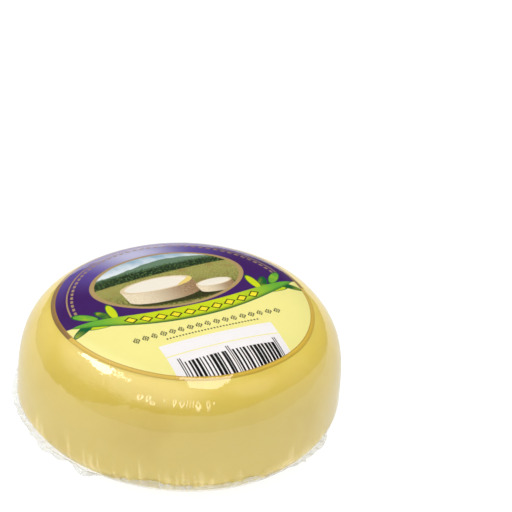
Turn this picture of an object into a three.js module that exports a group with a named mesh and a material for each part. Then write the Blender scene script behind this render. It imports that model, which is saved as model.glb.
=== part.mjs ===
// A small whole wheel of kashkaval cheese in clear shrink film, lying flat, with a round paper label
// on its top under the film. Millimetres, +Z up, +Y towards the top of the label, underside on z = 0.

import * as THREE from 'three';

// Wheel: a flat underside, a lower corner that turns under, a bulging wall and a slightly domed top.
const WHEEL_RADIUS = 55.5;
const WHEEL_HEIGHT = 42.2;
const UNDERSIDE_RADIUS = 50;
const WIDEST_HEIGHT = 7;
const SHOULDER_POWER = 3.7;
const CORNER_POWER = 1.3;

// The wheel is not quite round: share of the radius, waves round the rim, degrees to the first crest.
const UNROUNDNESS = [
  { share: 0.019, waves: 2, crest: 39 },
  { share: 0.009, waves: 3, crest: 30 },
];

// Label: a round paper disc that follows the domed top, laid on a little off the middle.
const LABEL_RADIUS = 44.5;
const LABEL_THICKNESS = 0.2;
const LABEL_SHIFT = new THREE.Vector2(-0.3, 1);

// Film: drawn tight over wheel and label, gathered at its lower edge into a sealed, ruffled frill.
// It eases down from the label to the cheese within a ring that starts at the label's edge.
const FILM_THICKNESS = 0.2;
const SKIN_GAP = 0.3;
const EASING_WIDTH = 4;
const FRILL_ROOT_HEIGHT = 1.3;
const FRILL_REACH = 55.5;
const FRILL_HEIGHT = 2.3;
const PLEAT_DEPTH = 0.35;
const PLEAT_HEIGHT = 9;

// The frill reaches further out on one side, and its folds follow each other at uneven distances.
const FRILL_DRIFT = 1.8;
const FRILL_DRIFT_ANGLE = 146;
const FOLD_COUNT = 24;
const FOLD_UNEVENNESS = [
  { share: 0.9, waves: 3, start: 0 },
  { share: 0.6, waves: 7, start: 57 },
];
const FOLD_HEIGHT = 1.1;
const FOLD_REACH = 0.6;
const REACH_WAVES = 5;

// Steps round the axis, over the shoulder, round the lower corner and across the label.
const STEPS_ROUND = 96;
const SHOULDER_STEPS = 11;
const CORNER_STEPS = 4;
const LABEL_STEPS = 4;

const CHEESE = new THREE.MeshStandardMaterial({ color: 0xe2cf78, roughness: 0.35, metalness: 0 });
const PAPER = new THREE.MeshStandardMaterial({ color: 0xfaf0a0, roughness: 0.3, metalness: 0 });
const CLEAR_FILM = new THREE.MeshStandardMaterial({
  color: 0xf2f4f2,
  roughness: 0.08,
  metalness: 0,
  transparent: true,
  opacity: 0.3,
});

// Lower corner of the wheel: u = 0 at the edge of the flat underside, u = 1 at the widest height.
function cornerPoint(u) {
  const angle = u * Math.PI / 2;
  const out = Math.sin(angle) ** (2 / CORNER_POWER);
  const up = 1 - Math.cos(angle) ** (2 / CORNER_POWER);
  const radius = UNDERSIDE_RADIUS + (WHEEL_RADIUS - UNDERSIDE_RADIUS) * out;
  return new THREE.Vector2(radius, WIDEST_HEIGHT * up);
}

// Height of the wall, shoulder or top at a radius.
function topHeight(radius) {
  const inside = Math.max(0, 1 - (radius / WHEEL_RADIUS) ** SHOULDER_POWER);
  return WIDEST_HEIGHT + (WHEEL_HEIGHT - WIDEST_HEIGHT) * inside ** (1 / SHOULDER_POWER);
}

// Wall, shoulder and top: u = 0 at the widest height, u = 1 on the axis.
function shoulderPoint(u) {
  const across = u < 1 ? Math.cos(u * Math.PI / 2) : 0;
  const radius = WHEEL_RADIUS * across ** (2 / SHOULDER_POWER);
  return new THREE.Vector2(radius, topHeight(radius));
}

// The wheel's outline from the edge of the underside to the middle of the top.
function wheelOutline() {
  const outline = [];
  for (let i = 0; i < CORNER_STEPS; i += 1) {
    outline.push(cornerPoint(i / CORNER_STEPS));
  }
  for (let i = 0; i <= SHOULDER_STEPS; i += 1) {
    outline.push(shoulderPoint(i / SHOULDER_STEPS));
  }
  return outline;
}

// An outline moved out along its own normals by a distance that may depend on the point.
function offsetOutline(outline, distance) {
  return outline.map((point, i) => {
    const before = outline[Math.max(i - 1, 0)];
    const after = outline[Math.min(i + 1, outline.length - 1)];
    const along = after.clone().sub(before).normalize();
    const normal = point.x === 0 ? new THREE.Vector2(0, 1) : new THREE.Vector2(along.y, -along.x);
    return point.clone().addScaledVector(normal, distance(point));
  });
}

// How much wider than a true circle the wheel is in one direction.
function roundness(angle) {
  return UNROUNDNESS.reduce((sum, { share, waves, crest }) => {
    return sum + share * Math.cos(waves * (angle - THREE.MathUtils.degToRad(crest)));
  }, 1);
}

// A closed turned body whose points are then placed one by one, by their direction round the axis.
function turned(outline, place) {
  const geometry = new THREE.LatheGeometry(outline, STEPS_ROUND);
  const position = geometry.getAttribute('position');
  for (let i = 0; i <= STEPS_ROUND; i += 1) {
    const angle = 2 * Math.PI * (i % STEPS_ROUND) / STEPS_ROUND;
    outline.forEach((point, j) => {
      const { x, y, z } = place(point, angle);
      position.setXYZ(i * outline.length + j, x, y, z);
    });
  }
  geometry.computeVertexNormals();
  return geometry;
}

// A point in space from its radius, its direction round the axis and its height.
function around(radius, angle, height) {
  return new THREE.Vector3(radius * Math.cos(angle), radius * Math.sin(angle), height);
}

// The wheel itself, solid all through.
function cheese() {
  const outline = [new THREE.Vector2(0, 0), ...wheelOutline()];
  const geometry = turned(outline, (point, angle) => {
    return around(point.x * roundness(angle), angle, point.y);
  });
  return new THREE.Mesh(geometry, CHEESE);
}

// The label: a true circle of even thickness that lies a skin gap above the wheel's domed top.
function label() {
  const under = [];
  for (let i = 0; i <= LABEL_STEPS; i += 1) {
    under.push(new THREE.Vector2(LABEL_RADIUS * Math.sqrt(i / LABEL_STEPS), SKIN_GAP));
  }
  const over = under.map((point) => new THREE.Vector2(point.x, SKIN_GAP + LABEL_THICKNESS));
  const geometry = turned([...under, ...over.reverse()], (point, angle) => {
    const placed = around(point.x, angle, point.y);
    placed.x += LABEL_SHIFT.x;
    placed.y += LABEL_SHIFT.y;
    const direction = Math.atan2(placed.y, placed.x);
    placed.z += topHeight(Math.hypot(placed.x, placed.y) / roundness(direction));
    return placed;
  });
  return new THREE.Mesh(geometry, PAPER);
}

// Clear space that the film leaves above the wheel: more over the label, easing off past its edge.
function filmClearance(point) {
  const edge = LABEL_RADIUS + LABEL_SHIFT.length();
  const overLabel = 1 - THREE.MathUtils.smoothstep(point.x, edge, edge + EASING_WIDTH);
  return SKIN_GAP + overLabel * (SKIN_GAP + LABEL_THICKNESS);
}

// How high a fold of the frill stands in one direction, from -1 to 1.
function fold(angle) {
  const phase = FOLD_UNEVENNESS.reduce((sum, { share, waves, start }) => {
    return sum + share * Math.sin(waves * angle + THREE.MathUtils.degToRad(start));
  }, FOLD_COUNT * angle);
  return Math.sin(phase);
}

// The film: one thin clear skin over wheel and label, open underneath, with the frill as its hem.
function film() {
  const covered = wheelOutline().filter((point) => point.y >= FRILL_ROOT_HEIGHT);
  const inside = offsetOutline(covered, filmClearance);
  const outside = offsetOutline(covered, (point) => filmClearance(point) + FILM_THICKNESS);
  const hem = [
    new THREE.Vector2(FRILL_REACH, FRILL_HEIGHT - FILM_THICKNESS / 2),
    new THREE.Vector2(FRILL_REACH, FRILL_HEIGHT + FILM_THICKNESS / 2),
  ];
  const geometry = turned([...inside.reverse(), ...hem, ...outside], (point, angle) => {
    if (hem.includes(point)) {
      const drift = FRILL_DRIFT * Math.cos(angle - THREE.MathUtils.degToRad(FRILL_DRIFT_ANGLE));
      const wave = FOLD_REACH * Math.cos(REACH_WAVES * angle + fold(angle));
      return around(point.x + drift + wave, angle, point.y + FOLD_HEIGHT * fold(angle));
    }
    const pleat = PLEAT_DEPTH * Math.max(0, 1 - point.y / PLEAT_HEIGHT) * (1 + fold(angle));
    return around(point.x * roundness(angle) + pleat, angle, point.y);
  });
  return new THREE.Mesh(geometry, CLEAR_FILM);
}

const wheel = new THREE.Group();
const parts = { cheese: cheese(), label: label(), film: film() };
for (const [name, mesh] of Object.entries(parts)) {
  mesh.name = name;
  wheel.add(mesh);
}

// The origin is under the middle of the whole piece.
const middle = new THREE.Box3().setFromObject(wheel).getCenter(new THREE.Vector3());
for (const mesh of wheel.children) {
  mesh.position.set(-middle.x, -middle.y, 0);
}

export default wheel;
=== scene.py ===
"""A small whole wheel of kashkaval in clear shrink film, with a round printed label on its top."""

from math import atan2, cos, hypot, pi, radians, remainder, sin

import bmesh
import bpy
from mathutils import Matrix, Quaternion, Vector, noise


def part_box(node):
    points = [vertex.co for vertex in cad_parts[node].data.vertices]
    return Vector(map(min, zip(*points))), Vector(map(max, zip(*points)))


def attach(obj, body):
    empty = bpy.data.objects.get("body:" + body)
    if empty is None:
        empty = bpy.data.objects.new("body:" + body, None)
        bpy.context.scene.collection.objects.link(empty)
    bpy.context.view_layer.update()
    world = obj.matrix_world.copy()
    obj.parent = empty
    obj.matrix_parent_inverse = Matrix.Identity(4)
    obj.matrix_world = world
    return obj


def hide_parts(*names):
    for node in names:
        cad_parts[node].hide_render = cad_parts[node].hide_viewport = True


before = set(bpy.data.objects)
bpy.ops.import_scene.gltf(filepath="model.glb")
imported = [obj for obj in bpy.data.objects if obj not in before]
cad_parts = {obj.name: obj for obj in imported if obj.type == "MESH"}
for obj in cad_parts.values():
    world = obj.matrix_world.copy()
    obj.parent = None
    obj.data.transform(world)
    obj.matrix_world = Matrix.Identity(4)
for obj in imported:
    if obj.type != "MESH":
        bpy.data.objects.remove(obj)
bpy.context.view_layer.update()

# ---------------------------------------------------------------------------------------------
# The cheese. One wheel of smooth, waxy, pale yellow stretched-curd cheese, pressed in a round
# mould and turned by hand, so that it bulges, isn't quite round and is slightly lumpy.

MM = 0.001

underside_radius = 50 * MM
wheel_radius = 55.5 * MM
widest_height = 7 * MM
wheel_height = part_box("cheese")[1].z
shoulder_power = 3.7
corner_power = 1.3
over_points = 2000
corner_points = 200

# Share of the radius, waves round the rim, and the way to the first crest.
unroundness = ((0.019, 2, radians(39)), (0.009, 3, radians(30)))

label_shift = Vector((-0.3, 1, 0)) * MM
label_middle = (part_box("label")[0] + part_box("label")[1]) / 2
axis_place = Vector((label_middle.x, label_middle.y, 0)) - label_shift

lump_size = 19 * MM
lump_height = 0.2 * MM
dent_size = 7 * MM
dent_height = 0.03 * MM
dent_shift = Vector((5, 0, 0))
shoulder_from, shoulder_to = 46 * MM, 54 * MM
high_side = radians(-168)
high_side_rise = 0.8 * MM
high_side_spread = 0.9
high_side_from, high_side_to = 15 * MM, 42 * MM
cheese_lift_wall = 0.2 * MM
cheese_lift_top = 0.4 * MM
cheese_underside = 0.12 * MM
cheese_steps = 360

# Rows of the mesh: from and to, in millimetres along the outline from the axis, and how many.
cheese_rows = ((0, 40, 14), (40, 56, 14), (56, 88.3, 22))


def smooth(value, low, high):
    """A soft step from 0 at low to 1 at high."""
    t = min(max((value - low) / (high - low), 0), 1)
    return t * t * (3 - 2 * t)


def roundness(angle):
    """How much wider than a true circle the wheel is in one direction."""
    return 1 + sum(share * cos(waves * (angle - crest)) for share, waves, crest in unroundness)


def top_height(radius):
    """Height of the wall, shoulder or top at a radius of the round wheel."""
    inside = max(0, 1 - (radius / wheel_radius) ** shoulder_power)
    return widest_height + (wheel_height - widest_height) * inside ** (1 / shoulder_power)


def wheel_outline():
    """Close points from the middle of the top, over shoulder and wall, to the underside's edge."""
    outline = []
    for i in range(over_points + 1):
        radius = wheel_radius * abs(sin(i / over_points * pi / 2)) ** (2 / shoulder_power)
        outline.append(Vector((radius, top_height(radius))))
    for i in range(1, corner_points + 1):
        turn = (1 - i / corner_points) * pi / 2
        out = abs(sin(turn)) ** (2 / corner_power)
        up = 1 - abs(cos(turn)) ** (2 / corner_power)
        radius = underside_radius + (wheel_radius - underside_radius) * out
        outline.append(Vector((radius, widest_height * up)))
    return outline


def rows_along(outline, stretches):
    """Points of an outline, so many in each stretch, which is given in millimetres along it."""
    picked = []
    for start, end, count in stretches:
        picked += [start + (end - start) * i / count for i in range(count)]
    picked.append(stretches[-1][1])
    points = []
    gone = 0
    for one, other in zip(outline, outline[1:]):
        step = (other - one).length
        while len(points) < len(picked) and gone + step >= picked[len(points)] * MM:
            points.append(one.lerp(other, (picked[len(points)] * MM - gone) / step))
        gone += step
    return points


def lifted(outline, lift):
    """An outline moved out along its own normals, by a distance that depends on the point."""
    moved = []
    for i, point in enumerate(outline):
        before = outline[max(i - 1, 0)]
        after = outline[min(i + 1, len(outline) - 1)]
        along = (after - before).normalized()
        out = Vector((-along.y, along.x)) if point.x > 0 else Vector((0, 1))
        moved.append(point + out * lift(point))
    return moved


def turned(outline, steps):
    """A closed bmesh from an outline turned once round the axis, with its row numbers."""
    bm = bmesh.new()
    row = bm.verts.layers.float.new("row")
    points = []
    for i, (radius, height) in enumerate(outline):
        point = bm.verts.new((radius, 0, height))
        point[row] = i
        points.append(point)
    for one, other in zip(points, points[1:]):
        bm.edges.new((one, other))
    bmesh.ops.spin(
        bm, geom=bm.verts[:] + bm.edges[:], cent=(0, 0, 0), axis=(0, 0, 1),
        angle=2 * pi, steps=steps, use_merge=True,
    )
    bmesh.ops.remove_doubles(bm, verts=bm.verts[:], dist=1e-6 * MM)
    bmesh.ops.recalc_face_normals(bm, faces=bm.faces[:])
    return bm


def top_share(point):
    """1 on the top, where lumps lift the surface, and 0 on the wall, where they push it out."""
    if point[-1] <= widest_height:
        return 0
    return 1 - smooth(hypot(*point[:-1]), shoulder_from, shoulder_to)


def lump(place):
    """How far the surface stands proud of the true wheel near a place, in metres."""
    large = lump_height * noise.noise(place / lump_size)
    small = dent_height * noise.noise(place / dent_size + dent_shift)
    radius = hypot(place.x, place.y)
    beside = abs(remainder(atan2(place.y, place.x) - high_side, 2 * pi))
    away = smooth(beside, 0, high_side_spread)
    raised = (1 - away) * smooth(radius, high_side_from, high_side_to)
    return large + small + high_side_rise * (raised * top_share(place))


def shaped(place):
    """A place on the round wheel moved to where the real, uneven wheel has it."""
    angle = atan2(place.y, place.x)
    proud = lump(place)
    share = top_share(place)
    out = (1 - share) * proud * min(place.z / widest_height, 1)
    radius = hypot(place.x, place.y) * roundness(angle) + out
    return Vector((radius * cos(angle), radius * sin(angle), place.z + share * proud))


def make_piece(name, bm, node):
    """A smooth object from a bmesh, standing where the CAD node stands, which it replaces."""
    mesh = bpy.data.meshes.new(name)
    bm.to_mesh(mesh)
    bm.free()
    mesh.transform(Matrix.Translation(axis_place))
    mesh.shade_smooth()
    piece = bpy.data.objects.new(name, mesh)
    bpy.context.scene.collection.objects.link(piece)
    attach(piece, "root")
    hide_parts(node)
    return piece


def cheese_lift(point):
    """The cheese fills the film, a little more over the top than down the wall."""
    if point.y < widest_height:
        return cheese_lift_wall * point.y / widest_height
    return cheese_lift_wall + (cheese_lift_top - cheese_lift_wall) * top_share(point)


outline = lifted(rows_along(wheel_outline(), cheese_rows), cheese_lift)
outline.append(Vector((0, 0)))
bm = turned(outline, cheese_steps)
for vert in bm.verts:
    vert.co = shaped(vert.co)
    vert.co.z = max(vert.co.z, cheese_underside)
cheese = make_piece("cheese_wheel", bm, "cheese")


def new_tree(name, piece):
    """The node tree of a new material on a piece, with only its output in it."""
    material = bpy.data.materials.new(name)
    material.use_nodes = True
    material.node_tree.nodes.clear()
    piece.data.materials.append(material)
    material.node_tree.nodes.new("ShaderNodeOutputMaterial")
    return material.node_tree


# Every helper for nodes adds to the tree that is being made, which is always called tree.


def join(socket, value):
    """Sets an input to a value, or links an output to it."""
    if isinstance(value, bpy.types.NodeSocket):
        tree.links.new(value, socket)
    else:
        socket.default_value = value


def add_node(kind, inputs=(), **settings):
    """One shader node, its inputs set to values or linked to outputs."""
    made = tree.nodes.new(kind)
    for name, value in settings.items():
        setattr(made, name, value)
    for name, value in dict(inputs).items():
        join(made.inputs[name], value)
    return made


def finish_with(shader):
    """Links a shader to the output of the tree."""
    outputs = [node for node in tree.nodes if node.type.startswith("OUTPUT")]
    tree.links.new(shader.outputs[0], outputs[0].inputs["Surface"])


def noise_at(vector, scale, detail=2.0, roughness=0.5):
    """A noise between 0 and 1, with so many swings to a metre."""
    return add_node("ShaderNodeTexNoise", {
        "Vector": vector, "Scale": scale, "Detail": detail, "Roughness": roughness,
    }).outputs["Fac"]


def rising(value, low, high, start=0.0, end=1.0):
    """A soft change from start where value is at low to end where it is at high."""
    return add_node("ShaderNodeMapRange", {
        "Value": value, "From Min": low, "From Max": high, "To Min": start, "To Max": end,
    }, interpolation_type="SMOOTHSTEP").outputs["Result"]


def paint(ground, coat, mask):
    """The colour of the ground, with the coat laid on it where mask holds."""
    made = add_node("ShaderNodeMix", data_type="RGBA")
    sockets = [socket for socket in made.inputs if socket.enabled]
    for socket, value in zip(sockets, (mask, ground, coat)):
        join(socket, value)
    return [socket for socket in made.outputs if socket.enabled][0]


def bumps(height, strength, distance):
    """A normal from a height pattern, whose full swing is a distance in metres."""
    return add_node("ShaderNodeBump", {
        "Height": height, "Strength": strength, "Distance": distance,
    }).outputs["Normal"]


def ink(red, green, blue):
    """A linear colour from the three values that it has on a screen, from 0 to 255."""
    parts = [((part / 255 + 0.055) / 1.055) ** 2.4 for part in (red, green, blue)]
    return (*parts, 1)


paste_plain = (0.80, 0.617, 0.118, 1)
paste_deep = (0.76, 0.565, 0.092, 1)
paste_pale = (0.82, 0.650, 0.150, 1)

tree = new_tree("waxy_cheese", cheese)
place = add_node("ShaderNodeTexCoord").outputs["Object"]
blotches = noise_at(place, 38.0, 3.0, 0.55)
clouds = noise_at(place, 95.0, 3.0, 0.6)
grain = noise_at(place, 900.0, 2.0)
paste = paint(paste_plain, paste_deep, rising(blotches, 0.5, 0.75))
paste = paint(paste, paste_pale, rising(clouds, 0.5, 0.8, 0.0, 0.5))
wax = add_node("ShaderNodeBsdfPrincipled", {
    "Base Color": paste,
    "Roughness": rising(grain, 0.3, 0.7, 0.36, 0.48),
    "Normal": bumps(grain, 0.25, 0.1 * MM),
    "Subsurface Weight": 0.3,
    "Subsurface Radius": (1.0, 0.7, 0.25),
    "Subsurface Scale": 4 * MM,
    "Specular IOR Level": 0.4,
})
finish_with(wax)

# ---------------------------------------------------------------------------------------------
# The label. A round disc of coated paper, die-cut and printed, laid on the cheese by machine a
# little off the middle before wrapping, and pressed to the domed top by the film.

label_radius = 44.5 * MM
label_thickness = 0.1 * MM
label_lift = 0.46 * MM
label_steps = 288
label_rows = 30

outline = [Vector((label_radius * i / label_rows, label_thickness)) for i in range(label_rows + 1)]
outline += [Vector((point.x, 0)) for point in reversed(outline)]
bm = turned(outline, label_steps)
flat = bm.loops.layers.uv.new("print")
for face in bm.faces:
    for loop in face.loops:
        loop[flat].uv = (loop.vert.co.x / label_radius, loop.vert.co.y / label_radius)
for vert in bm.verts:
    spot = Vector((vert.co.x, vert.co.y, 0)) + label_shift
    radius = hypot(spot.x, spot.y) / roundness(atan2(spot.y, spot.x))
    round_spot = spot / max(hypot(spot.x, spot.y), MM) * radius
    round_spot.z = top_height(radius)
    vert.co.z += round_spot.z + label_lift + lump(round_spot)
    vert.co.xy = spot.xy
label = make_piece("round_label", bm, "label")


def calc(operation, *values):
    """The result of one sum on numbers or outputs."""
    made = add_node("ShaderNodeMath", operation=operation)
    for socket, value in zip(made.inputs, values):
        join(socket, value)
    return made.outputs[0]


def plus(*values):
    """The sum of several numbers or outputs."""
    total = values[0]
    for value in values[1:]:
        total = calc("ADD", total, value)
    return total


def times(*values):
    """The product of numbers or outputs, which is also the mask where all of several hold."""
    total = values[0]
    for value in values[1:]:
        total = calc("MULTIPLY", total, value)
    return total


def either(*masks):
    """The mask where any of several holds."""
    total = masks[0]
    for mask in masks[1:]:
        total = calc("MAXIMUM", total, mask)
    return total


def over(value, edge, soft=0.004):
    """The mask where a value is over an edge, with an inked edge of a soft width."""
    return rising(calc("SUBTRACT", value, edge), -soft / 2, soft / 2)


def under(value, edge, soft=0.004):
    """The mask where a value is under an edge."""
    return over(edge, value, soft)


def between(value, low, high, soft=0.004):
    """The mask where a value is between two edges."""
    return times(over(value, low, soft), under(value, high, soft))


def oval(middle, half, turn=0.0):
    """How far out a point of the print is in an oval: 0 in its middle and 1 at its edge."""
    across = plus(x, -middle[0])
    up = plus(y, -middle[1])
    along = plus(times(across, cos(turn)), times(up, sin(turn)))
    beside = plus(times(up, cos(turn)), times(across, -sin(turn)))
    along = times(along, 1 / half[0])
    beside = times(beside, 1 / half[1])
    return calc("SQRT", plus(times(along, along), times(beside, beside)))


def cell(value, start, size):
    """Which cell of a row a value is in, and how far through that cell, from -0.5 to 0.5."""
    run = times(plus(value, -start), 1 / size)
    number = calc("FLOOR", run)
    return number, plus(calc("SUBTRACT", run, number), -0.5)


def chance(number, salt):
    """An even random value from 0 to 1 for each whole number."""
    return add_node("ShaderNodeTexWhiteNoise", {
        "W": plus(number, salt),
    }, noise_dimensions="1D").outputs["Value"]


yellow = ink(250, 241, 154)
line_gold = ink(178, 148, 112)
frame_gold = ink(184, 156, 104)
rim_bright = ink(236, 198, 78)
rim_dull = ink(158, 122, 72)
rim_edge = ink(188, 148, 56)
deep_violet = ink(70, 34, 104)
mid_violet = ink(104, 84, 164)
lavender = ink(206, 204, 232)
lime = ink(208, 222, 30)
mid_green = ink(108, 180, 60)
dark_green = ink(18, 98, 50)
cream = ink(246, 238, 222)
black = ink(16, 12, 13)
white = ink(249, 245, 244)

# Places and sizes on the print in label radii, the count of bars, and a painted shade for the
# film.
band_foot = -0.215
border_y = -0.402
stitch = 0.0105
bars_from, bars_to = -0.415, 0.397
bar_cells = 27
painted_film_shade = 0.11

tree = new_tree("printed_paper", label)
flat_place = add_node("ShaderNodeUVMap", uv_map="print").outputs["UV"]
split = add_node("ShaderNodeSeparateXYZ", {"Vector": flat_place})
x = split.outputs["X"]
y = split.outputs["Y"]
from_middle = oval((0, 0), (1, 1))
drift = noise_at(flat_place, 9.0, 3.0)
foliage = noise_at(flat_place, 55.0, 4.0, 0.6)
grass = noise_at(flat_place, 120.0, 3.0, 0.6)

# Two fields, pale yellow below and violet above, which pales to lavender near the top.
band_line = plus(band_foot, times(x, x, 0.24))
glow = oval((-0.05, 0.78), (0.86, 0.66))
violet = paint(lavender, mid_violet, rising(glow, 0.0, 0.6))
violet = paint(violet, deep_violet, rising(glow, 0.45, 1.05))
violet = paint(violet, mid_violet, times(over(from_middle, 0.89, 0.06), rising(y, 0.2, 0.9)))
colour = paint(yellow, violet, over(y, band_line))

# A gold line and a row of gold beads run beside the rim, over the violet field only.
_, bead_at = cell(calc("ARCTAN2", y, x), 0, 2 * pi / 90)
beads = times(between(from_middle, 0.835, 0.855), under(calc("ABSOLUTE", bead_at), 0.3, 0.1))
gold_line = between(from_middle, 0.876, 0.888)
colour = paint(colour, line_gold, times(either(gold_line, beads), over(y, 0.12)))

# The picture, in a gold oval: sky, hills, a wood, a meadow, and two cheeses lying in it.
stretched = add_node("ShaderNodeMapping", {"Vector": flat_place, "Scale": (70, 38, 1)})
treetops = noise_at(stretched.outputs[0], 1, 4.0, 0.65)
sky_rise = rising(plus(y, times(drift, 0.3)), 0.62, 0.85)
picture = paint(ink(232, 238, 240), ink(150, 184, 208), sky_rise)
hills = plus(0.50, times(calc("SINE", plus(times(x, 5.0), 0.9)), 0.045), times(drift, 0.05))
picture = paint(picture, ink(110, 138, 112), under(y, hills, 0.01))
wood = plus(0.37, times(x, 0.04), times(treetops, 0.22))
in_wood = under(y, wood, 0.01)
picture = paint(picture, ink(24, 40, 28), in_wood)
picture = paint(picture, ink(104, 134, 74), times(in_wood, rising(treetops, 0.47, 0.66)))
meadow = paint(ink(198, 188, 112), ink(120, 128, 58), rising(grass, 0.4, 0.6))
meadow = paint(meadow, ink(160, 128, 76), times(rising(drift, 0.5, 0.7), 0.6))
meadow = paint(meadow, ink(84, 96, 40), times(rising(foliage, 0.42, 0.6), under(y, 0.16, 0.3)))
picture = paint(picture, meadow, under(y, plus(0.36, times(x, 0.05), times(grass, 0.02)), 0.012))
shadow = under(oval((0.08, 0.02), (0.50, 0.085)), 1, 0.4)
picture = paint(picture, ink(38, 44, 22), times(shadow, 0.9))
first_cheese = ((-0.12, 0.235), (0.30, 0.09), 0.16)
second_cheese = ((0.31, 0.11), (0.15, 0.05), 0.085)
for middle, half, depth in (first_cheese, second_cheese):
    from_lid = oval(middle, half)
    lid = under(from_lid, 1, 0.02)
    foot = under(oval((middle[0], middle[1] - depth), half), 1, 0.02)
    beside = under(calc("ABSOLUTE", plus(x, -middle[0])), half[0])
    upright = times(beside, between(y, middle[1] - depth, middle[1]))
    shaded = rising(x, middle[0] - 0.8 * half[0], middle[0] + 0.9 * half[0])
    rind = paint(ink(244, 230, 200), ink(150, 116, 80), shaded)
    rind = paint(rind, ink(214, 190, 150), times(rising(foliage, 0.4, 0.6), 0.35))
    picture = paint(picture, rind, either(upright, foot))
    picture = paint(picture, cream, lid)
    picture = paint(picture, ink(228, 206, 164), times(lid, over(from_lid, 0.88, 0.1)))
first_middle, first_half, _ = first_cheese
first_lid = under(oval(first_middle, first_half), 1, 0.02)
cut = times(first_lid, over(x, first_middle[0]), under(y, plus(0.155, times(x, 0.6))))
picture = paint(picture, ink(240, 214, 120), times(cut, over(y, plus(0.205, times(x, -0.9)))))
frame_size = oval((0, 0.285), (0.60, 0.385))
colour = paint(colour, picture, under(frame_size, 1))
colour = paint(colour, frame_gold, between(frame_size, 0.98, 1.045))

# The band: a green crescent from rim to rim with a row of lozenges, and a sprig at each end.
half_band = times(calc("POWER", calc("MAXIMUM", plus(1, times(x, x, -1.16)), 0.0), 0.6), 0.084)
off_band = calc("SUBTRACT", y, band_line)
for side in (-1, 1):
    for reach, height, turn, leaf_colour in (
        (0.66, -0.03, 62, dark_green), (0.80, 0.045, 48, mid_green), (0.73, -0.115, 8, lime),
        (0.60, 0.01, 96, lime), (0.86, -0.08, -22, dark_green),
    ):
        leaf = oval((side * reach, height), (0.115, 0.038), radians(side * turn))
        leaf_paint = paint(leaf_colour, lime, rising(drift, 0.4, 0.7, 0.0, 0.5))
        leaf_paint = paint(leaf_paint, dark_green, over(leaf, 0.86, 0.1))
        colour = paint(colour, leaf_paint, under(leaf, 1, 0.04))
band_paint = paint(lime, mid_green, rising(calc("ABSOLUTE", x), 0.3, 0.8))
band_paint = paint(band_paint, dark_green, under(off_band, times(half_band, -0.68), 0.05))
colour = paint(colour, band_paint, under(calc("ABSOLUTE", off_band), half_band))
_, lozenge_at = cell(x, -0.575, 0.115)
lozenge = plus(times(calc("ABSOLUTE", lozenge_at), 2.1), times(calc("ABSOLUTE", off_band), 22))
in_row = under(calc("ABSOLUTE", x), 0.575)
colour = paint(colour, ink(34, 50, 16), times(under(lozenge, 1.0, 0.08), in_row))
colour = paint(colour, ink(250, 232, 50), times(under(lozenge, 0.70, 0.08), in_row))

# A dark stitched border of diamonds, as in embroidery, and under it a row of dots.
step_x = times(plus(calc("FLOOR", times(x, 1 / stitch)), 0.5), stitch)
step_y = times(plus(calc("FLOOR", times(plus(y, -border_y), 1 / stitch)), 0.5), stitch)
_, diamond_at = cell(step_x, -0.63, 7 * stitch)
diamond = plus(times(calc("ABSOLUTE", diamond_at), 7 * stitch), calc("ABSOLUTE", step_y))
diamonds = either(between(diamond, 1.6 * stitch, 3.2 * stitch), under(diamond, 0.6 * stitch))
tall = under(calc("ABSOLUTE", step_y), 3.2 * stitch)
_, run_at = cell(x, -0.63 - stitch, 21 * stitch)
runs = times(under(calc("ABSOLUTE", run_at), 0.47), under(calc("ABSOLUTE", x), 0.63))
colour = paint(colour, black, times(diamonds, tall, runs))
_, dot_at = cell(x, -0.39, 0.026)
dot = plus(times(dot_at, dot_at, 12.0), calc("POWER", times(plus(y, 0.474), 120), 2))
colour = paint(colour, black, times(under(dot, 1, 0.5), under(calc("ABSOLUTE", x), 0.39)))

# The white box, with a fine yellow line and a row of upright bars of uneven width.
white_box = times(between(x, -0.481, 0.457), under(y, -0.533))
colour = paint(colour, white, white_box)
colour = paint(colour, yellow, times(white_box, between(y, -0.668, -0.658)))
bars_middle = (bars_from + bars_to) / 2
number, bar_at = cell(x, bars_from, (bars_to - bars_from) / bar_cells)
bar_start = plus(-0.48, times(chance(number, 0.5), 0.26))
bar_end = plus(0.04, times(chance(number, 7.5), 0.42))
left_half = between(x, bars_from + 0.03, bars_middle - 0.02)
right_half = between(x, bars_middle + 0.02, bars_to - 0.03)
bars = times(over(bar_at, bar_start, 0.08), under(bar_at, bar_end, 0.08), under(y, -0.75))
bars = times(bars, either(left_half, right_half))
guards = either(*[
    between(x, at + gap, at + gap + 0.008)
    for at in (bars_from, bars_middle - 0.012, bars_to - 0.024)
    for gap in (0, 0.016)
])
bars = either(bars, times(guards, under(y, -0.703)))
colour = paint(colour, black, times(bars, white_box))

# The gold rim, dull beside the violet field and bright beside the yellow one.
rim_paint = paint(rim_bright, rim_dull, over(y, -0.085, 0.01))
rim_paint = paint(rim_paint, rim_edge, between(from_middle, 0.967, 0.973, 0.008))
colour = paint(colour, rim_paint, over(from_middle, 0.967, 0.004))

fibre = noise_at(flat_place, 240.0, 3.0)
# A painted shade: the print's colour is darkened all over, as if by the film over it.
paper = add_node("ShaderNodeBsdfPrincipled", {
    "Base Color": paint(colour, (0, 0, 0, 1), painted_film_shade),
    "Roughness": rising(fibre, 0.3, 0.7, 0.34, 0.48),
    "Normal": bumps(fibre, 0.1, 0.05 * MM),
    "Specular IOR Level": 0.15,
})
finish_with(paper)

# ---------------------------------------------------------------------------------------------
# The film. Two clear webs of shrink film sealed together round the wheel: heat has drawn them
# tight, gathered the wall into fine upright pleats and ruffled the trimmed seal into a frill.

film_lift_wall = 0.32 * MM
film_lift_cheese_top = 0.5 * MM
film_lift_label = 0.66 * MM
film_easing = 6 * MM
film_rows = ((0, 40, 8), (40, 46, 6), (46, 53, 14), (53, 66, 11), (66, 86.2, 14))
film_steps = 1080
film_underside = 0.06 * MM
underside_shares = (0.985, 0.9, 0.5, 0.0)

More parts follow.
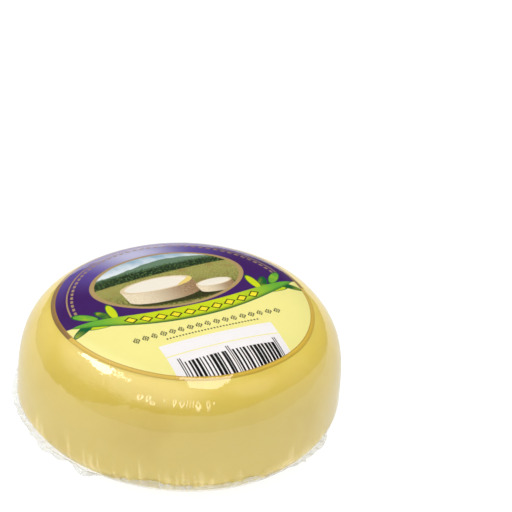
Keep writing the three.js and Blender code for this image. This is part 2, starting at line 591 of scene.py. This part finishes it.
seal_share = 0.44
frill_shares = (0, 0.2, 0.36, seal_share, 0.52, 0.75, 1)
frill_width = 4 * MM
frill_reach = 55.4 * MM
frill_drift = 2.0 * MM
frill_drift_angle = radians(132)
seal_thickness = 0.1 * MM
bent_up_height = 4.0
bent_up_middle = radians(-108)
slack_middle = radians(-148)

pleat_height = 0.04 * MM
crease_height = 0.03 * MM
crease_radius = 50.5
crease_turns = radians(-136), radians(-105)
crease_levels = 31.9 * MM, 36.2 * MM

# The small creases on the front shoulder: degrees round, height, half-width and half-length in
# millimetres, how far each leans, and how much wider it is at its top than in its middle.
creases = (
    (-133.6, 34.0, 1.05, 0.9, -0.3, 0.4), (-130.6, 34.1, 0.7, 1.0, -0.3, 0.4),
    (-129.6, 33.9, 0.3, 1.0, 0.1, 0.0), (-128.6, 33.1, 1.0, 0.5, 0.3, 0.0),
    (-124.4, 34.1, 0.35, 0.4, 0.0, 0.0), (-120.7, 33.9, 0.55, 1.25, -0.1, 0.6),
    (-117.9, 33.7, 0.85, 1.1, -0.1, 0.6), (-116.0, 33.7, 0.27, 1.2, -0.2, 0.0),
    (-114.9, 33.6, 0.27, 1.2, -0.2, 0.0), (-113.8, 33.7, 0.27, 1.1, -0.1, 0.0),
    (-112.0, 33.5, 0.85, 1.2, 0.0, -0.4), (-108.3, 33.5, 0.65, 1.15, 0.0, -0.1),
    (-106.2, 33.8, 0.4, 0.4, 0.0, 0.0),
)


def film_lift(point):
    """The film lies on the label and eases down to the cheese past the label's edge."""
    share = top_share(point)
    lift = film_lift_wall + (film_lift_cheese_top - film_lift_wall) * share
    past = smooth(point.x, label_radius, label_radius + film_easing)
    return lift + (film_lift_label - film_lift_cheese_top) * (1 - past)


def round_noise(angle, swings, salt, height=0.0):
    """Noise that closes on itself round the wheel, with so many swings on the way."""
    turn = swings / (2 * pi)
    return noise.noise(Vector((cos(angle) * turn, sin(angle) * turn, salt + height)))


def pleats(angle, height):
    """Fine upright lines of gathered film on the lower wall, from 0 to 1."""
    top = (10 + 8 * round_noise(angle, 90, 3.1)) * MM
    fade = 1 - smooth(height, 0.55 * top, top + 2 * MM)
    fine = 1 - abs(round_noise(angle + height * 2, 150, 7.7, height / (60 * MM))) / 0.25
    wide = round_noise(angle, 60, 9.3, height / (30 * MM))
    return fade * (max(0, fine) * smooth(wide, -0.7, -0.1) + 0.3 * max(0, wide))


def crease(angle, height):
    """How much a crease's raised rim shows at a place on the front shoulder, from 0 to 1."""
    shown = 0
    for turn, level, half_width, half_length, lean, flare in creases:
        up = height / MM - level
        across = remainder(angle - radians(turn), 2 * pi) * crease_radius + lean * up
        if abs(across) < 2 and abs(up) < 2:
            up /= half_length
            across /= half_width * max(0.3, 1 + flare * up)
            if half_width > 0.4:
                off_rim = (hypot(across, up) - 0.7) / 0.42
                rim = 1 - off_rim * off_rim
                closed = 1 - (0.9 if flare > 0 else 0.45) * smooth(up, 0.0, 0.75)
                shown = max(shown, rim * closed)
            else:
                shown = max(shown, 0.75 * max(0, 1 - across * across) * max(0, 1 - up ** 4))
    return shown


skin = lifted(rows_along(wheel_outline(), film_rows), film_lift)
root = skin[-1]
frill_marks = [(share, 1) for share in frill_shares[1:]]
frill_marks += [(share, -1) for share in reversed(frill_shares)]
outline = list(skin)
for share, side in frill_marks:
    height = root.y + (side - 2) * seal_thickness / 2
    outline.append(Vector((root.x + share * frill_width, height)))
for share in underside_shares:
    outline.append(Vector((underside_radius * share, film_underside)))


def frill_place(share, side, angle):
    """A point of the frill: share 0 at the wall, 1 at the trimmed edge; side 1 upper, -1 lower."""
    start = root.x * roundness(angle)
    ragged = 2.6 * round_noise(angle, 34, 1.7) + 0.7 * round_noise(angle, 90, 4.4)
    reach = frill_reach + frill_drift * cos(angle - frill_drift_angle) + ragged * MM
    fold = 2.0 * round_noise(angle, 60, 5.2) + 0.7 * round_noise(angle, 170, 6.6, share * 0.7)
    curl = 1.5 * round_noise(angle, 40, 8.8) * share
    bent_up = bent_up_height * (1 - smooth(abs(angle - bent_up_middle), 0.35, 0.75))
    ridge = 0.5 * max(0, 1 - abs(share - seal_share) / 0.1)
    height = root.y - 0.25 * MM + (share * (1.7 + fold + curl + bent_up) + ridge) * MM
    height = max(height, 0.3 * MM) + side * seal_thickness / 2
    level = max(0, 1 - height / widest_height) ** corner_power
    wall = underside_radius + (wheel_radius - underside_radius) * (1 - level) ** (1 / corner_power)
    frayed = 3.0 * round_noise(angle, 75, 2.9) + 1.2 * round_noise(angle, 210, 0.6)
    loose = 0.35 + share * (0.3 + max(0, frayed))
    radius = max(start + share * (reach - start), wall * roundness(angle) + loose * MM)
    return Vector((radius * cos(angle), radius * sin(angle), height))


bm = turned(outline, film_steps)
creased_edges = []
for edge in bm.edges:
    turns = [atan2(vert.co.y, vert.co.x) for vert in edge.verts]
    levels = [vert.co.z for vert in edge.verts]
    in_turns = crease_turns[0] < min(turns) and max(turns) < crease_turns[1]
    in_levels = crease_levels[0] < min(levels) and max(levels) < crease_levels[1]
    if in_turns and in_levels:
        creased_edges.append(edge)
bmesh.ops.subdivide_edges(bm, edges=creased_edges, cuts=2, use_grid_fill=True)
row_layer = bm.verts.layers.float["row"]
# One attribute holds the film's haze and its painted glints: creases, root strip and frill.
haze_and_glints_layer = bm.verts.layers.float.new("haze_and_glints")
slack_layer = bm.verts.layers.float.new("slack")
frill_layer = bm.verts.layers.float.new("frill")
for vert in bm.verts:
    mark = round(vert[row_layer]) - len(skin)
    angle = atan2(vert.co.y, vert.co.x)
    if 0 <= mark < len(frill_marks):
        share, side = frill_marks[mark]
        vert.co = frill_place(share, side, angle)
        # The frill is clouded, and gets a faint painted highlight as well.
        frill_cloud_and_glint = max(0, round_noise(angle, 230, 2.2, share * 0.6))
        vert[haze_and_glints_layer] = 0.15 + 0.5 * frill_cloud_and_glint
        vert[frill_layer] = min(1, 0.4 + share)
        continue
    stand = 0
    if mark < 0 and hypot(vert.co.x, vert.co.y) > label_radius:
        pleated = pleats(angle, vert.co.z)
        creased = crease(angle, vert.co.z)
        stand = pleat_height * pleated + crease_height * creased
        # Beside the root: a painted highlight, a broken strip of white glints.
        near_root = 1 - smooth(vert.co.z, root.y, root.y + 2.2 * MM)
        root_painted_glints = near_root * smooth(round_noise(angle, 200, 4.1), 0.1, 0.35)
        # The pleats are hazy with some painted sheen; the creases get painted glints.
        pleat_haze_and_glint = min(0.55 * pleated, 0.4)
        vert[haze_and_glints_layer] = max(pleat_haze_and_glint, 0.85 * creased, 0.45 * near_root, root_painted_glints)
        beside = abs(angle - slack_middle)
        loosened = (1 - smooth(beside, 0.1, 0.45)) * smooth(vert.co.z, 28 * MM, 33 * MM)
        vert[slack_layer] = loosened
    vert.co = shaped(vert.co) + Vector((cos(angle), sin(angle), 0)) * stand
bmesh.ops.recalc_face_normals(bm, faces=bm.faces[:])
film = make_piece("clear_film_wrap", bm, "film")

tree = new_tree("clear_shrink_film", film)
place = add_node("ShaderNodeTexCoord").outputs["Object"]
haze_and_glint_amount = add_node("ShaderNodeAttribute", attribute_name="haze_and_glints").outputs["Fac"]
slack = add_node("ShaderNodeAttribute", attribute_name="slack").outputs["Fac"]
frill = add_node("ShaderNodeAttribute", attribute_name="frill").outputs["Fac"]
fine_ripples = times(noise_at(place, 420.0, 2.0), plus(times(either(slack, frill), 1.3), 0.15))
ripple = bumps(plus(noise_at(place, 130.0, 1.0), fine_ripples), 0.5, 0.25 * MM)
facing = add_node("ShaderNodeLayerWeight", {"Blend": 0.5, "Normal": ripple}).outputs["Facing"]
# Haze, with painted glints on top of it, read from the attribute.
haze_and_glint = times(haze_and_glint_amount, rising(noise_at(place, 700.0, 2.0), 0.35, 0.65, 0.7, 1.1))
mirror_share = plus(0.095, times(calc("POWER", facing, 5), 0.6))
mirror_share = times(mirror_share, rising(frill, 0.0, 0.6, 1.0, 0.25))
thick = paint((0.97, 0.98, 0.985, 1), (0.9, 0.915, 0.92, 1), rising(facing, 0.6, 0.98))
clear = add_node("ShaderNodeBsdfTransparent", {"Color": paint((1, 1, 1, 1), thick, frill)})
# A painted highlight: a white coat added over the clear film, none of it taken from the light
# through it.
painted_glint_share = times(haze_and_glint, rising(frill, 0.0, 0.7, 0.38, 0.12))
painted_glint = add_node("ShaderNodeBsdfDiffuse", {
    "Color": paint((0, 0, 0, 1), (0.9, 0.92, 0.97, 1), painted_glint_share),
})
clear_with_painted_glint = add_node("ShaderNodeAddShader", {0: clear.outputs[0], 1: painted_glint.outputs[0]})
cloudy = add_node("ShaderNodeBsdfDiffuse", {"Color": (0.83, 0.83, 0.81, 1)})
body = add_node("ShaderNodeMixShader", {
    "Fac": times(frill, haze_and_glint), 1: clear_with_painted_glint.outputs[0], 2: cloudy.outputs[0],
})
shine = add_node("ShaderNodeBsdfGlossy", {"Roughness": 0.035, "Normal": ripple})
skin_shader = add_node("ShaderNodeMixShader", {
    "Fac": mirror_share, 1: body.outputs[0], 2: shine.outputs[0],
})
finish_with(skin_shader)

# ---------------------------------------------------------------------------------------------
# The studio: a pale floor that glows like a light table, dark surroundings, one wide white card at
# the front, soft glows overhead and round the sides, bright windows and two soft boxes.

camera_turn = radians(-29)
floor_half = 6.0
soft_box_distance = 2.0

bm = bmesh.new()
bmesh.ops.create_grid(bm, x_segments=1, y_segments=1, size=floor_half)
floor_mesh = bpy.data.meshes.new("pale_floor")
bm.to_mesh(floor_mesh)
bm.free()
floor = bpy.data.objects.new("pale_floor", floor_mesh)
bpy.context.scene.collection.objects.link(floor)
tree = new_tree("pale_matt_floor", floor)
pale = add_node("ShaderNodeBsdfPrincipled", {
    "Base Color": (0.15, 0.15, 0.15, 1),
    "Roughness": 0.9,
    "Specular IOR Level": 0.0,
    "Emission Color": (1, 1, 1, 1),
    "Emission Strength": 0.92,
})
finish_with(pale)

card_angle = camera_turn + radians(-60)
world = bpy.data.worlds.new("studio")
world.use_nodes = True
bpy.context.scene.world = world
tree = world.node_tree
tree.nodes.clear()
tree.nodes.new("ShaderNodeOutputWorld")
way = add_node("ShaderNodeTexCoord").outputs["Generated"]


def between_ways(one, other):
    """How nearly two ways agree: the cosine of the angle between them."""
    return add_node("ShaderNodeVectorMath", {
        0: one, 1: other,
    }, operation="DOT_PRODUCT").outputs["Value"]


flat_way = add_node("ShaderNodeVectorMath", {0: way, 1: (1, 1, 0)}, operation="MULTIPLY")
level_way = add_node("ShaderNodeVectorMath", {0: flat_way.outputs[0]}, operation="NORMALIZE")
card_way = (cos(card_angle), sin(card_angle), 0)
towards_card = between_ways(level_way.outputs[0], card_way)
card_top = rising(towards_card, -0.5, 0.8, -0.03, 0.48)
climb = add_node("ShaderNodeSeparateXYZ", {"Vector": way}).outputs["Z"]
card = rising(calc("SUBTRACT", climb, card_top), -0.02, 0.05, 0.92, 0.02)


def from_camera(rise, turn):
    """The way to a place at a rise from the floor, turned so far from the camera's right."""
    angle = camera_turn + radians(turn)
    rise = radians(rise)
    return Vector((cos(angle) * cos(rise), sin(angle) * cos(rise), sin(rise)))


# Soft glows: rise, turn, how far out the glow is full and where it has gone, and its strength.
glows = [card]
for rise, turn, full, gone, strength in (
    (66, -135, 14, 38, 1.6), (52, 172, 8, 38, 1.15), (5, 142, 10, 28, 0.5),
    (54, -4, 5, 20, 0.8), (34, 20, 5, 20, 0.3),
):
    near = between_ways(way, from_camera(rise, turn))
    glows.append(rising(near, cos(radians(gone)), cos(radians(full)), 0.0, strength))


def window(corners, strength):
    """A bright pane seen from the wheel, with its corners given as rises and turns, in degrees."""
    ways = [from_camera(rise, turn) for rise, turn in corners]
    middle = sum(ways, Vector())
    inside = []
    for one, other in zip(ways, ways[1:] + ways[:1]):
        side = one.cross(other).normalized()
        if side.dot(middle) < 0:
            side = -side
        inside.append(over(between_ways(way, side), 0, 0.01))
    return times(*inside, strength)


glows.append(window(((51, 156), (55, 143), (65, 147), (66, 163), (57, 191), (50, 181)), 10.5))
glows.append(window(((45, 149), (52, 143), (57, 145), (50, 158)), 10.0))
glows.append(window(((66, 163), (69, 166), (70, 182), (68, 209), (66, 190)), 7.0))
glows.append(window(((79, 88), (68, 46), (73, 10), (74, -28), (84, -45)), 4.3))
finish_with(add_node("ShaderNodeBackground", {"Strength": either(*glows)}))


def soft_box(name, rise, turn, side, power):
    """A square studio light aimed at the wheel, which shows in no reflection."""
    lamp = bpy.data.lights.new(name, "AREA")
    lamp.shape = "SQUARE"
    lamp.size = side
    lamp.energy = power
    aim = from_camera(rise, turn)
    box = bpy.data.objects.new(name, lamp)
    box.location = axis_place + aim * soft_box_distance
    box.rotation_mode = "QUATERNION"
    box.rotation_quaternion = aim.to_track_quat("Z", "Y")
    box.visible_glossy = False
    bpy.context.scene.collection.objects.link(box)


soft_box("back_soft_box", 60, 75, 1.5, 24.0)
soft_box("front_soft_box", 77, -95, 1.5, 6.5)

# ---------------------------------------------------------------------------------------------
# The camera: a long lens, looking down on the wheel from the front and a little from the left.

frame_side = 512
lens_pixels = 2581.0
axis_pixel = Vector((179.15, 403.2))
camera_distance = 890 * MM
camera_rise = radians(33.9)
camera_roll = radians(-3.74)

camera_data = bpy.data.cameras.new("camera")
camera_data.sensor_fit = "HORIZONTAL"
camera_data.sensor_width = 36
camera_data.lens = camera_data.sensor_width * lens_pixels / frame_side
camera_data.clip_start = 0.05
camera_data.clip_end = 50
camera = bpy.data.objects.new("camera", camera_data)
bpy.context.scene.collection.objects.link(camera)
away = Vector((
    sin(camera_turn) * cos(camera_rise), -cos(camera_turn) * cos(camera_rise), sin(camera_rise),
))
camera.location = axis_place + away * camera_distance
towards_wheel = away.to_track_quat("Z", "Y") @ Quaternion((0, 0, 1), -camera_roll)
axis_way = Vector((axis_pixel.x - frame_side / 2, frame_side / 2 - axis_pixel.y, -lens_pixels))
swing = Vector((0, 0, -1)).rotation_difference(axis_way)
camera.rotation_mode = "QUATERNION"
camera.rotation_quaternion = towards_wheel @ swing.inverted()
bpy.context.scene.camera = camera
bpy.context.scene.view_settings.view_transform = "Standard"
bpy.context.scene.cycles.transparent_max_bounces = 32
